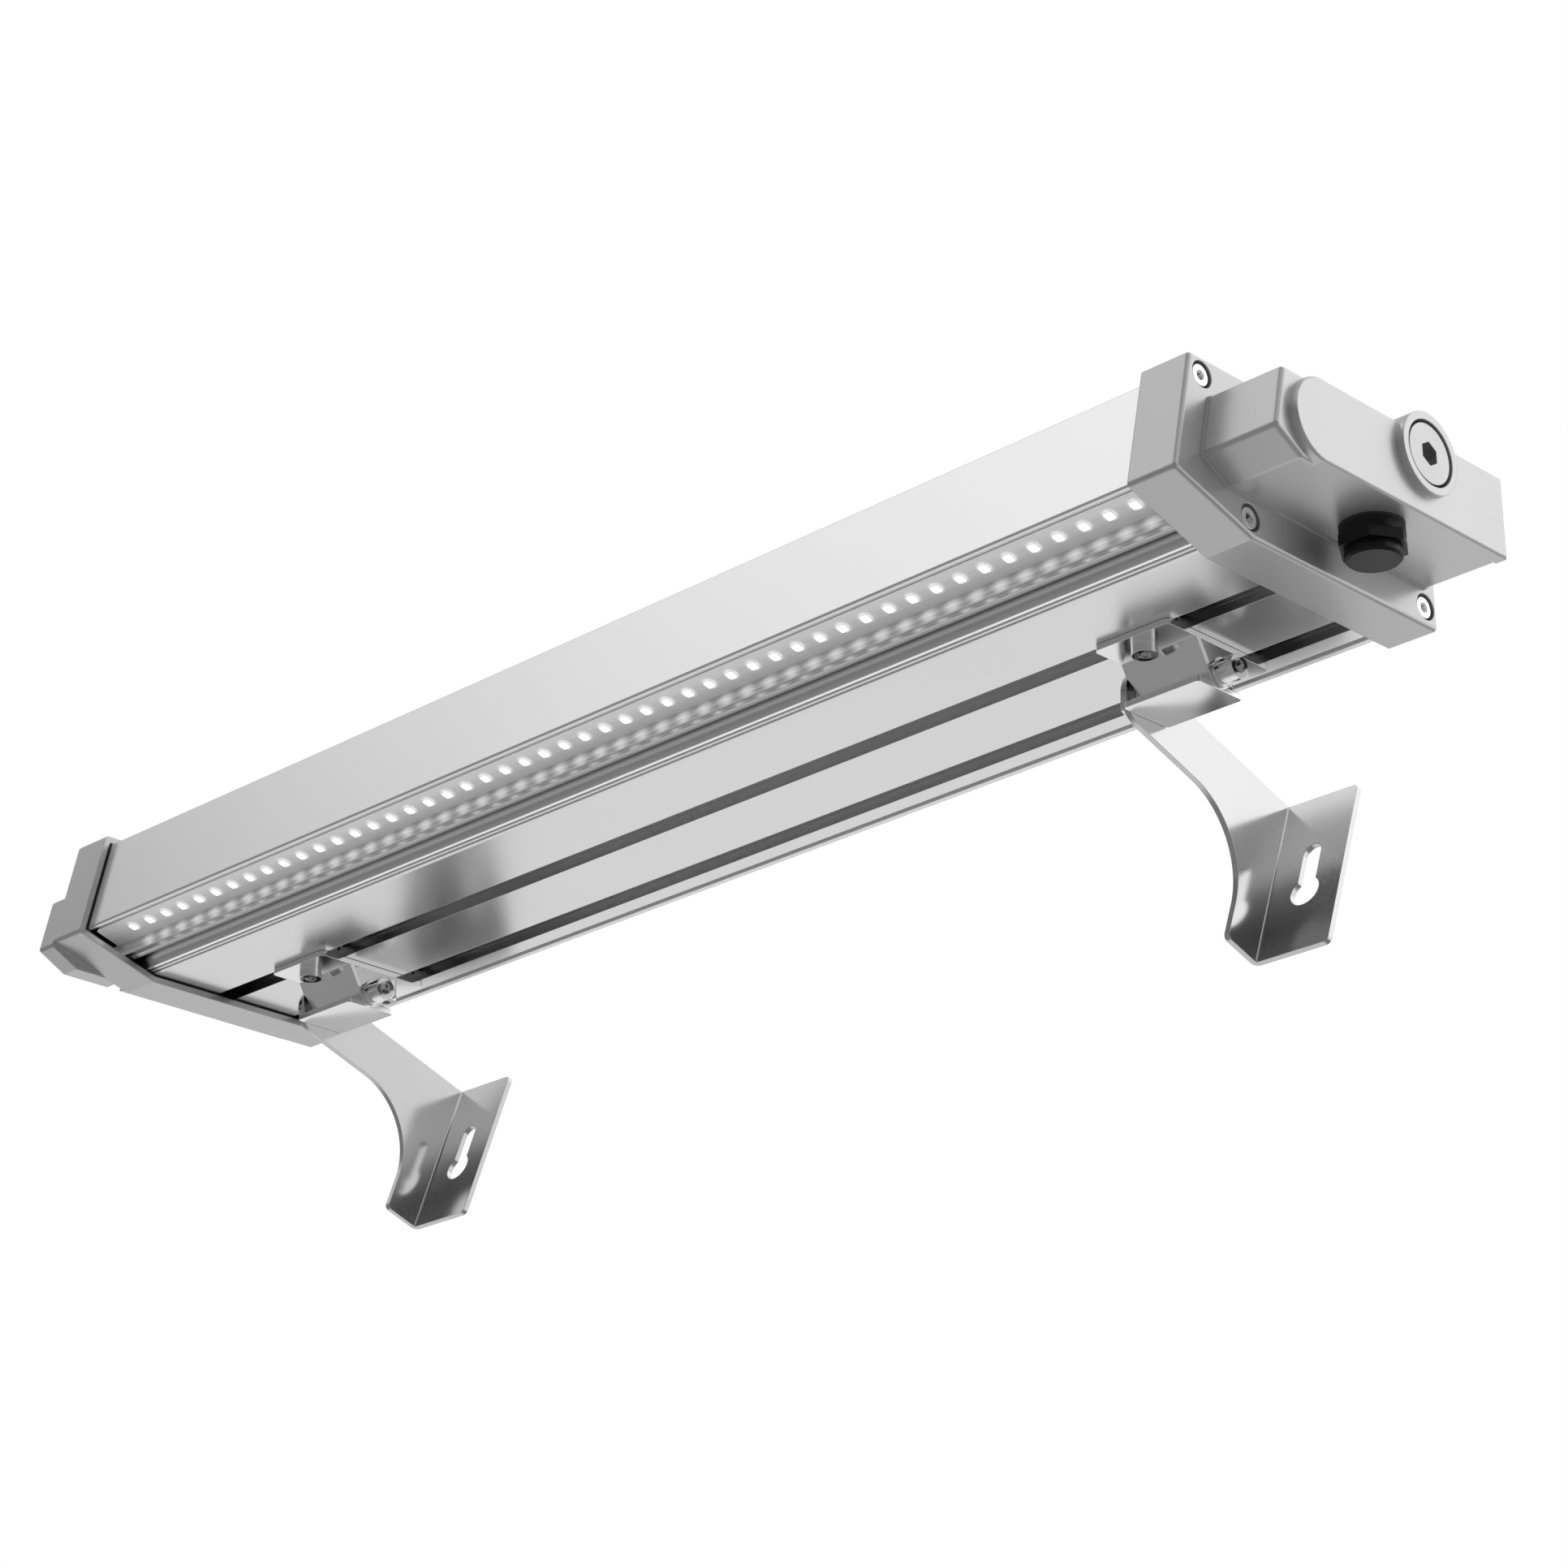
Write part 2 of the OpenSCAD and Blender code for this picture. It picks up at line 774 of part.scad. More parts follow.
module cap_gasket() {
    drawn(half, plate_x)
        difference() {
            polygon(body_pts);
            cavity_2d();
            for (p = ports)
                translate(p)
                    circle(r = cap_screw_r + fit);
        }
}
module cap_gasket_left() {
    color("#3a3b3d")
        in_housing()
            left_end()
                cap_gasket();
}
module cap_gasket_right() {
    color("#3a3b3d")
        in_housing()
            cap_gasket();
}

module cap_screws() {
    for (p = ports)
        head_screw(cap_x1 - recess_d + cap_head_h, cap_x1 - cap_screw_len,
            cap_screw_r, cap_head_r, cap_head_h, cap_socket, p);
}
module cap_screws_left() {
    color("#e2e3e4")
        in_housing()
            left_end()
                cap_screws();
}
module cap_screws_right() {
    color("#e2e3e4")
        in_housing()
            cap_screws();
}

// Light row: cover, seals, reflector, board, sources and tape
cover_s0 = channel_front - groove_w + seal_t;
cover_s1 = rear_s(cover_set) + groove_w - seal_t;
module cover_lens() {
    color("#e8eef2", 0.4)
        in_housing()
            drawn(-half, half)
                led_band_2d(cover_s0, cover_s1, cover_set, cover_set + cover_t);
}

module lens_seals() {
    color("#4a4b4d")
        in_housing()
            drawn(-half, half)
                difference() {
                    led_band_2d(cover_s0 - seal_t, rear_s(groove_d0) + groove_w, groove_d0, groove_d1);
                    led_band_2d(cover_s0, cover_s1, cover_set, cover_set + cover_t);
                    led_band_2d(channel_front, rear_s(cover_set), groove_d0 - over, groove_d1 + over);
                }
}

reflector_t = 0.5;
module reflector() {
    color("#f0f0f1")
        in_housing()
            drawn(-half, half)
                polygon([led_at(rear_s(groove_d1), groove_d1), led_at(rear_s(channel_d), channel_d),
                    led_at(rear_s(channel_d) - reflector_t, channel_d),
                    led_at(rear_s(groove_d1) - reflector_t, groove_d1)]);
}

board_end = 4;
module led_board() {
    color("#dfe1e2")
        in_housing()
            drawn(-half + board_end, half - board_end)
                led_band_2d(board_inset, board_inset + board_w, board_d0, board_d1);
}

module thermal_tape() {
    color("#8d9093")
        in_housing()
            difference() {
                drawn(-half + board_end, half - board_end)
                    led_band_2d(board_inset, board_inset + board_w, board_d1, channel_d);
                on_led_face(feed_x, feed_s, board_d1 - over)
                    cylinder(h = tape_t + 2 * over, r = feed_r);
            }
}

led_count = round((body_len - 2 * led_margin) / led_pitch) + 1;
module led_chips() {
    color("#fbfbf6")
        in_housing()
            for (k = [0 : led_count - 1])
                let (x = (k - (led_count - 1) / 2) * led_pitch)
                    drawn(x - led_side / 2, x + led_side / 2)
                        led_band_2d(board_inset + led_inset - led_side / 2,
                            board_inset + led_inset + led_side / 2, board_d0 - led_h, board_d0);
}

// Driver on its tray, which rests on the backs of the slots
tray_t = 1.5;
tray_len = 250;
tray_lip = 5;
tray_inset = 96.75;
driver_len = 215;
driver_w = 39;
driver_edge = 0.8;
driver_h = 22;
driver_r = 1.5;
tray_y = slot_y[1] + slot_inner_w / 2 + slot_wall;
tray_x1 = half - tray_inset;
driver_x1 = tray_x1 - (tray_len - driver_len) / 2;
driver_y1 = tray_y - driver_edge;
driver_y0 = driver_y1 - driver_w;
driver_z = shelf_z + tray_t;

module driver_tray() {
    color("#b4b6b8")
        in_housing() {
            block([tray_x1 - tray_len, -tray_y, shelf_z], [tray_x1, tray_y, driver_z]);
            for (x = [tray_x1 - tray_len, tray_x1 - tray_t])
                block([x, -tray_y, driver_z], [x + tray_t, driver_y0, driver_z + tray_lip]);
        }
}

module led_driver() {
    color("#eceded")
        in_housing()
            soft_prism([[driver_y0, driver_z], [driver_y1, driver_z],
                [driver_y1, driver_z + driver_h], [driver_y0, driver_z + driver_h]],
                driver_x1 - driver_len, driver_x1, driver_r + fit, driver_r);
}

// Supply leads, straight from the driver's end to the terminal block
module supply_leads() {
    color("#5b4636")
        in_housing()
            for (y = lead_y)
                bar(driver_x1, box_x0 + block_gap, lead_r, [y, lead_z]);
}

// A round lead along a list of points
lead_sides = 10;
function way_at(pts, i) = unit(pts[min(i + 1, len(pts) - 1)] - pts[max(i - 1, 0)]);
function side_at(pts, i) = unit(cross(way_at(pts, i), [0, 0, 1]));
function ring_at(pts, i, r) = [for (k = [0 : lead_sides - 1])
    let (a = 360 * k / lead_sides)
        pts[i] + r * (cos(a) * side_at(pts, i) + sin(a) * cross(side_at(pts, i), way_at(pts, i)))];
module lead(pts, r) {
    n = len(pts);
    polyhedron(
        points = [for (i = [0 : n - 1]) each ring_at(pts, i, r)],
        faces = [
            [for (k = [lead_sides - 1 : -1 : 0]) k],
            for (i = [0 : n - 2], k = [0 : lead_sides - 1])
                let (a = i * lead_sides + k, b = i * lead_sides + (k + 1) % lead_sides)
                    each [[a, b, b + lead_sides], [a, b + lead_sides, a + lead_sides]],
            [for (k = [0 : lead_sides - 1]) (n - 1) * lead_sides + k]
        ]);
}

// The light row's leads leave the driver's end and turn down into the feed hole
led_lead_gap = 1.6;
led_lead_r = 0.9;
led_lead_in = 8;
led_lead_up = 10.5;
led_lead_y = driver_y0 + led_lead_in;
led_lead_z = driver_z + led_lead_up;
lead_steps = 14;
lead_clear = 8;
function lead_top(d) = led_at(feed_s + d, channel_d + floor_t + lead_clear);
function ease(t) = t * t * (3 - 2 * t);
function led_lead_at(t, d) = [driver_x1 + (feed_x - driver_x1) * t,
    led_lead_y + d + (lead_top(d)[0] - led_lead_y - d) * ease(t),
    led_lead_z + (lead_top(d)[1] - led_lead_z) * ease(t)];

module led_leads() {
    color("#b03a30")
        in_housing()
            for (d = [-led_lead_gap, led_lead_gap])
                union() {
                    lead([for (k = [0 : lead_steps]) led_lead_at(k / lead_steps, d)], led_lead_r);
                    on_led_face(feed_x, feed_s + d, board_d1)
                        cylinder(h = channel_d - board_d1 + floor_t + lead_clear + led_lead_r,
                            r = led_lead_r);
                }
}

// Connection box with its raised pad and the boss for the screw plug
pad_r = box_h / 2;
pad_y = front_y(box_z0 + pad_r) + box_front + pad_front;
pad_edge = 0.6;
boss_back = 40.4;
boss_below = 7.3;
boss_at = [box_y1 - boss_back, box_z1 - boss_below];
boss_x1 = box_x1 + pad_h + boss_step;
plug_thread_r = 9.4;
plug_head_h = 3;
plug_len = 11;
plug_set = 0.4;
seat_r = plug_r + seat_gap;
entry_out = 14.5;
entry_back = 47;
entry_x = cap_x1 + entry_out;
entry_y = box_y1 - entry_back;

module pad_2d(d) {
    translate([pad_y, box_z0 + pad_r])
        circle(r = pad_r - d);
    translate([pad_y, box_z0 + d])
        square([box_y1 - pad_y - d, box_h - 2 * d]);
}

module box_solid() {
    soft_prism(box_pts, box_x0, box_x1, box_r + fit, box_r);
    hull() {
        drawn(box_x1 - box_r, box_x1 + pad_h - pad_edge)
            pad_2d(0);
        drawn(box_x1 + pad_h - skin_t, box_x1 + pad_h)
            pad_2d(pad_edge);
    }
    bar(box_x0, boss_x1, boss_r, boss_at);
}

module connection_box() {
    color("#c4c5c8")
        in_housing()
            difference() {
                box_solid();
                difference() {
                    drawn(box_x0 - over, box_x1 - box_wall)
                        polygon(inset(box_pts, box_wall));
                    for (p = posts)
                        bar(box_x0 - over, box_x1, post_r, p);
                }
                for (p = posts)
                    bar(box_x0 - over, box_x0 + box_screw_len, box_screw_r + fit, p);
                bar(boss_x1 - plug_head_h - plug_set, boss_x1 + over, seat_r, boss_at);
                bar(boss_x1 - plug_len - boss_step, boss_x1, plug_thread_r + fit, boss_at);
                translate([entry_x, entry_y, box_z0 - over])
                    cylinder(h = box_wall + 2 * over, r = entry_r + fit);
            }
}

module box_gasket() {
    color("#d0d0d0")
        in_housing()
            drawn(cap_x1, box_x0)
                difference() {
                    union() {
                        polygon(rounded(inset(box_pts, -gasket_proud), box_r));
                        translate(boss_at)
                            circle(r = boss_r + gasket_proud);
                    }
                    polygon(inset(box_pts, box_wall));
                    for (p = posts)
                        translate(p)
                            circle(r = box_screw_r + fit);
                }
}

module box_screws() {
    color("#cfd0d2")
        in_housing()
            for (p = posts)
                head_screw(plate_x, box_x0 + box_screw_len, box_screw_r, box_head_r, box_head_h,
                    cap_socket, p);
}

// Terminal block on the box's floor
terminal_w = 15;
terminal_h = 13;
terminal_hole_r = 1.6;
terminal_edge = 3.5;
module terminal_block() {
    x0 = box_x0 + block_gap;
    z0 = box_z0 + box_wall;
    color("#e6e4dc")
        in_housing()
            difference() {
                block([x0, lead_y[0] - terminal_edge, z0],
                    [x0 + terminal_w, lead_y[lead_count - 1] + terminal_edge, z0 + terminal_h]);
                for (y = lead_y)
                    translate([x0 + terminal_w / 2, y, z0 + terminal_h / 2])
                        cylinder(h = terminal_h, r = terminal_hole_r);
            }
}

// Grommet round the supply leads, held in the right cap's end wall
grommet_flange = 1;
grommet_lip = 1.4;
module lead_grommet() {
    color("#2b2b2c")
        in_housing()
            difference() {
                union() {
                    bar(plate_x - grommet_flange, cap_x1 + grommet_flange, grommet_r, grommet_at);
                    for (x = [plate_x - grommet_flange, cap_x1])
                        bar(x, x + grommet_flange, grommet_r + grommet_lip, grommet_at);
                }
                for (y = lead_y)
                    bar(plate_x - grommet_flange - over, cap_x1 + grommet_flange + over,
                        lead_r + fit, [y, lead_z]);
            }
}

// Screw plug with its O-ring
o_ring_r = 0.7;
plug_socket_d = 5;
plug_x1 = boss_x1 - plug_set;
module screw_plug() {
    color("#c0c1c4")
        in_housing()
            difference() {
                union() {
                    bar(plug_x1 - plug_head_h + 2 * o_ring_r, plug_x1, plug_r, boss_at);
                    bar(plug_x1 - plug_len, plug_x1, plug_thread_r, boss_at);
                }
                hex_bar(plug_x1 - plug_socket_d, plug_x1 + over, plug_socket, boss_at);
            }
}

module plug_o_ring() {
    color("#1f1f20")
        in_housing()
            translate([plug_x1 - plug_head_h + o_ring_r, boss_at[0], boss_at[1]])
                rotate([0, 90, 0])
                    rotate_extrude()
                        translate([plug_thread_r + o_ring_r, 0])
                            circle(r = o_ring_r);
}

// Black plug that closes the cable entry under the box
seal_h = 1;
collar_h = 3.4;
grip_h = 3.6;
grip_flats = 19.4;
neck_h = 1;
neck_r = 8.2;
disc_r = 8.8;
disc_h = 2.6;
disc_edge = 0.8;
entry_len = 7;
module blanking_plug() {
    top = box_z0 - seal_h;
    grip_z = top - collar_h - grip_h;
    disc_z = grip_z - neck_h - disc_h;
    color("#1c1c1d")
        in_housing()
            translate([entry_x, entry_y, 0]) {
                translate([0, 0, top])
                    cylinder(h = entry_len, r = entry_r);
                translate([0, 0, top - collar_h])
                    cylinder(h = collar_h, r = collar_r);
                translate([0, 0, grip_z])
                    cylinder(h = grip_h, r = grip_flats / 2 / cos(30), $fn = 6);
                translate([0, 0, grip_z - neck_h])
                    cylinder(h = neck_h, r = neck_r);
                translate([0, 0, disc_z + disc_edge])
                    cylinder(h = disc_h - disc_edge, r = disc_r);
                translate([0, 0, disc_z])
                    cylinder(h = disc_edge, r1 = disc_r - disc_edge, r2 = disc_r);
            }
}

module blanking_seal() {
    color("#2e2e2f")
        in_housing()
            translate([entry_x, entry_y, box_z0 - seal_h])
                difference() {
                    cylinder(h = seal_h, r = collar_r);
                    translate([0, 0, -over])
                        cylinder(h = seal_h + 2 * over, r = entry_r + fit);
                }
}

bracket_left();
bracket_right();
pivot_bolts();
pivot_washers();
spring_washers();
pivot_nuts();
clip_left();
clip_right();
clip_screws();
slot_nuts();
housing_profile();
end_cap_left();
end_cap_right();
cap_gasket_left();
cap_gasket_right();
cap_screws_left();
cap_screws_right();
cover_lens();
lens_seals();
reflector();
led_board();
led_chips();
thermal_tape();
driver_tray();
led_driver();
led_leads();
connection_box();
box_gasket();
box_screws();
terminal_block();
supply_leads();
lead_grommet();
screw_plug();
plug_o_ring();
blanking_plug();
blanking_seal();
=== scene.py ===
# Outdoor wall washer light: a long aluminium housing on two tilting steel brackets.
import math

import bpy
import numpy as np
from mathutils import Matrix, Vector


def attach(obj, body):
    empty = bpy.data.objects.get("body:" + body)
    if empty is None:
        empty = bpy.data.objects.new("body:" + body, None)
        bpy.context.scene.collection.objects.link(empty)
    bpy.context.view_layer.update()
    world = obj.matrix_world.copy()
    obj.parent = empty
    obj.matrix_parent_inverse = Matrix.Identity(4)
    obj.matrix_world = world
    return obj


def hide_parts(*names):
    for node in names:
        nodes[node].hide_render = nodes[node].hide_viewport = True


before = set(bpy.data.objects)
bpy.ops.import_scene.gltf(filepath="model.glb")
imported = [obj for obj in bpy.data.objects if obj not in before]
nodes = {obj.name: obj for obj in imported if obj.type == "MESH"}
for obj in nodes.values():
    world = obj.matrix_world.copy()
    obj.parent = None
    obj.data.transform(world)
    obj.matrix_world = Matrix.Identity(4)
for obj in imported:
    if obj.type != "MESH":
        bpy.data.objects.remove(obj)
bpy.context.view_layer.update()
print("frame loaded:", len(nodes), "nodes")

# Camera: lens and place as fitted to the picture, with its right, up and back directions
cameraSetup = {
    "lens": 89.81,
    "sensor": 36.0,
    "nearest": 0.01,
    "farthest": 50.0,
    "place": (0.8962, -0.7269, -0.7454),
    "right": (0.71092, 0.66201, 0.23734),
    "up": (0.27731, -0.57402, 0.77046),
    "back": (0.64629, -0.48192, -0.59166),
}


def makeCamera(setup):
    cameraData = bpy.data.cameras.new("camera")
    cameraData.lens = setup["lens"]
    cameraData.sensor_width = setup["sensor"]
    cameraData.clip_start = setup["nearest"]
    cameraData.clip_end = setup["farthest"]
    camera = bpy.data.objects.new("camera", cameraData)
    turn = Matrix((setup["right"], setup["up"], setup["back"])).transposed().to_4x4()
    camera.matrix_world = Matrix.Translation(setup["place"]) @ turn
    bpy.context.scene.collection.objects.link(camera)
    bpy.context.scene.camera = camera


makeCamera(cameraSetup)
bpy.context.scene.view_settings.view_transform = "Standard"
print("camera placed")

# Colours
white = (1, 1, 1, 1)


def grey(level, warm=0.0):
    return (level * (1 + warm), level, level * (1 - warm), 1.0)


def hexColour(text):  # a web colour as linear values
    parts = [int(text[i:i + 2], 16) / 255 for i in (1, 3, 5)]
    linear = [p / 12.92 if p <= 0.04045 else ((p + 0.055) / 1.055) ** 2.4 for p in parts]
    return (*linear, 1.0)


# Shader helpers. An input is given by its name or number, as a value or the socket that feeds it.
def feed(tree, node, inputs):
    for key, value in inputs.items():
        if isinstance(value, bpy.types.NodeSocket):
            tree.links.new(value, node.inputs[key])
        else:
            node.inputs[key].default_value = value


# Settings such as the operation come before the inputs, because they decide which inputs there are
def addNode(tree, kind, x, y, inputs=None, **settings):
    node = tree.nodes.new(kind)
    node.location = (x, y)
    for key, value in settings.items():
        setattr(node, key, value)
    feed(tree, node, inputs or {})
    return node


def addMath(tree, operation, x, y, *values):
    inputs = dict(enumerate(values))
    return addNode(tree, "ShaderNodeMath", x, y, inputs, operation=operation).outputs[0]


def addVectorMath(tree, operation, output, x, y, *values):
    inputs = dict(enumerate(values))
    return addNode(tree, "ShaderNodeVectorMath", x, y, inputs, operation=operation).outputs[output]


def addRange(tree, x, y, value, fromRange=(0.0, 1.0), toRange=(0.0, 1.0), kind="LINEAR"):
    inputs = {"Value": value, "From Min": fromRange[0], "From Max": fromRange[1],
              "To Min": toRange[0], "To Max": toRange[1]}
    spread = addNode(tree, "ShaderNodeMapRange", x, y, inputs, interpolation_type=kind)
    return spread.outputs["Result"]


def addMix(tree, x, y, share, first, second):
    inputs = {"Factor": share, "A": first, "B": second}
    return addNode(tree, "ShaderNodeMix", x, y, inputs, data_type="RGBA").outputs["Result"]


def addBump(tree, look, height):
    inputs = {"Strength": look["bump"], "Distance": look["bumpDepth"], "Height": height}
    return addNode(tree, "ShaderNodeBump", -300, -300, inputs)


# 1 for rays of the two kinds, and 0 for all others
def rayMask(tree, x, y, kinds):
    rays = addNode(tree, "ShaderNodeLightPath", x - 200, y)
    return addMath(tree, "MAXIMUM", x, y, *(rays.outputs[kind] for kind in kinds))


# Rays of the two kinds meet the other shader instead of the material's own
def swapShader(tree, shader, other, kinds):
    inputs = {"Fac": rayMask(tree, 100, 400, kinds), 1: shader.outputs["BSDF"], 2: other}
    mixed = addNode(tree, "ShaderNodeMixShader", 350, 100, inputs)
    feed(tree, tree.nodes["Material Output"], {"Surface": mixed.outputs["Shader"]})


def newMaterial(name):
    material = bpy.data.materials.new(name)
    material.use_nodes = True
    tree = material.node_tree
    return material, tree, tree.nodes["Principled BSDF"]


# A node group with its sockets, the sockets that it reads its inputs from, and its output node
def newGroup(name, inputs, outputs):
    group = bpy.data.node_groups.new(name, "ShaderNodeTree")
    for label, value in inputs.items():
        kind = "NodeSocketVector" if isinstance(value, tuple) else "NodeSocketFloat"
        group.interface.new_socket(label, in_out="INPUT", socket_type=kind).default_value = value
    for label in outputs:
        group.interface.new_socket(label, in_out="OUTPUT", socket_type="NodeSocketFloat")
    start = addNode(group, "NodeGroupInput", -1300, 0)
    end = addNode(group, "NodeGroupOutput", 700, 0)
    return group, start.outputs, end


# Surface grain: noise on object coordinates, stretched by the Stretch vector.
# Height is the fine noise, and Patch is a slow cloud whose middle range is spread over 0 to 1.
grainSetup = {
    "stretch": (1, 1, 1), "fineScale": 900.0, "fineDetail": 3.0, "fineRoughness": 0.6,
    "patchScale": 12.0, "patchDetail": 2.0, "patchRoughness": 0.5, "patchRange": (0.3, 0.7),
}


def makeGrainGroup(setup):
    group, given, end = newGroup("surfaceGrain", {
        "Stretch": setup["stretch"],
        "Fine Scale": setup["fineScale"],
        "Patch Scale": setup["patchScale"],
    }, ["Height", "Patch"])
    spot = addNode(group, "ShaderNodeTexCoord", -900, 250).outputs["Object"]
    stretched = addVectorMath(group, "MULTIPLY", "Vector", -650, 150, spot, given["Stretch"])
    fine = addNode(group, "ShaderNodeTexNoise", -400, 150, {
        "Vector": stretched, "Scale": given["Fine Scale"],
        "Detail": setup["fineDetail"], "Roughness": setup["fineRoughness"],
    })
    cloud = addNode(group, "ShaderNodeTexNoise", -400, -150, {
        "Vector": spot, "Scale": given["Patch Scale"],
        "Detail": setup["patchDetail"], "Roughness": setup["patchRoughness"],
    })
    patch = addRange(group, -100, -150, cloud.outputs["Fac"], setup["patchRange"])
    feed(group, end, {"Height": fine.outputs["Fac"], "Patch": patch})
    return group


grainGroup = makeGrainGroup(grainSetup)


def addGrain(tree, x, y, inputs=None):
    return addNode(tree, "ShaderNodeGroup", x, y, inputs, node_tree=grainGroup).outputs


# The places of a node's vertices
def spotsOf(node):
    spots = np.empty(3 * len(node.data.vertices), dtype=np.float32)
    node.data.vertices.foreach_get("co", spots)
    return spots.reshape(-1, 3).astype(float)


# The corners of each solid in a row along X, as one array a solid. The gap is wider than a solid
# and narrower than the space to the next one.
def solidCorners(node, gap):
    spots = spotsOf(node)
    spots = spots[np.argsort(spots[:, 0], kind="stable")]
    return np.split(spots, np.flatnonzero(np.diff(spots[:, 0]) > gap) + 1)


# The light row's sources, and the middle of the channel's rear wall, which mirrors them, and where
# their painted reflections and painted glow are centred: it lies at the outer and lowest edge of
# the reflector
chipGap = 0.005
chipCorners = solidCorners(nodes["led_chips"], chipGap)
chipCentres = np.array([corners.mean(axis=0) for corners in chipCorners])
rowLast = len(chipCentres) - 1
rowFirst = float(chipCentres[0][0])
rowPitch = float((chipCentres[-1][0] - chipCentres[0][0]) / rowLast)
rowMiddle = tuple(chipCentres.mean(axis=0) * (0, 1, 1))
reflectorSpots = spotsOf(nodes["reflector"])
wallMiddle = tuple(reflectorSpots[reflectorSpots[:, 2].argmin()] * (0, 1, 1))
print("light row:", len(chipCentres), "sources")


# Mask for painted glow of the light row on a surface beside it, and for painted bands of shade and
# highlight along it: 1 at each source's spot, and 0 where the distance to the nearest spot, as a
# share of the reach along X and of the reach across, is 1 or more
def makeRowGlowGroup():
    group, given, end = newGroup("rowGlow", {
        "First X": 0.0,
        "Pitch": 0.01,
        "Last": 49.0,
        "Centre": (0, 0, 0),
        "Reach X": 0.004,
        "Reach Across": 0.004,
    }, ["Glow"])
    spot = addNode(group, "ShaderNodeTexCoord", -1300, 300).outputs["Object"]
    parts = addNode(group, "ShaderNodeSeparateXYZ", -1100, 300, {0: spot}).outputs
    fromFirst = addMath(group, "SUBTRACT", -900, 400, parts["X"], given["First X"])
    inPitches = addMath(group, "DIVIDE", -750, 400, fromFirst, given["Pitch"])
    rounded = addMath(group, "ROUND", -900, 600, inPitches)
    notBefore = addMath(group, "MAXIMUM", -750, 600, rounded, 0.0)
    nearest = addMath(group, "MINIMUM", -600, 600, notBefore, given["Last"])
    past = addMath(group, "SUBTRACT", -600, 400, inPitches, nearest)
    toNearest = addMath(group, "ABSOLUTE", -520, 400, past)
    along = addMath(group, "MULTIPLY", -450, 400, toNearest, given["Pitch"])
    alongShare = addMath(group, "DIVIDE", -300, 400, along, given["Reach X"])
    flat = addNode(group, "ShaderNodeCombineXYZ", -900, 100, {"Y": parts["Y"], "Z": parts["Z"]})
    across = addVectorMath(group, "DISTANCE", "Value", -700, 100, flat.outputs[0], given["Centre"])
    acrossShare = addMath(group, "DIVIDE", -450, 100, across, given["Reach Across"])
    both = addNode(group, "ShaderNodeCombineXYZ", -100, 200, {"X": alongShare, "Y": acrossShare})
    far = addVectorMath(group, "LENGTH", "Value", 100, 200, both.outputs[0])
    glow = addRange(group, 300, 200, far, toRange=(1.0, 0.0), kind="SMOOTHSTEP")
    feed(group, end, {"Glow": glow})
    return group


rowGlowGroup = makeRowGlowGroup()


def addRowGlow(tree, centre, reachX, reachAcross):
    return addNode(tree, "ShaderNodeGroup", -900, 700, {
        "First X": rowFirst, "Pitch": rowPitch, "Last": rowLast,
        "Centre": centre, "Reach X": reachX, "Reach Across": reachAcross,
    }, node_tree=rowGlowGroup).outputs["Glow"]


# What a look has where it doesn't say. The edge is the radius of softly rounded edges, and a
# painted band of shade or highlight is longer than the light.
lookDefaults = {
    "metallic": 0.0, "specular": 0.5, "glow": 0.0, "roughnessSpread": 0.04, "stretch": (1, 1, 1),
    "fineScale": 900.0, "patchScale": 12.0, "bump": 0.1, "bumpDepth": 0.0001,
    "edge": 0.0, "edgeSamples": 6, "shadeAndHighlightBands": [], "paintedBandLength": 1.0,
}


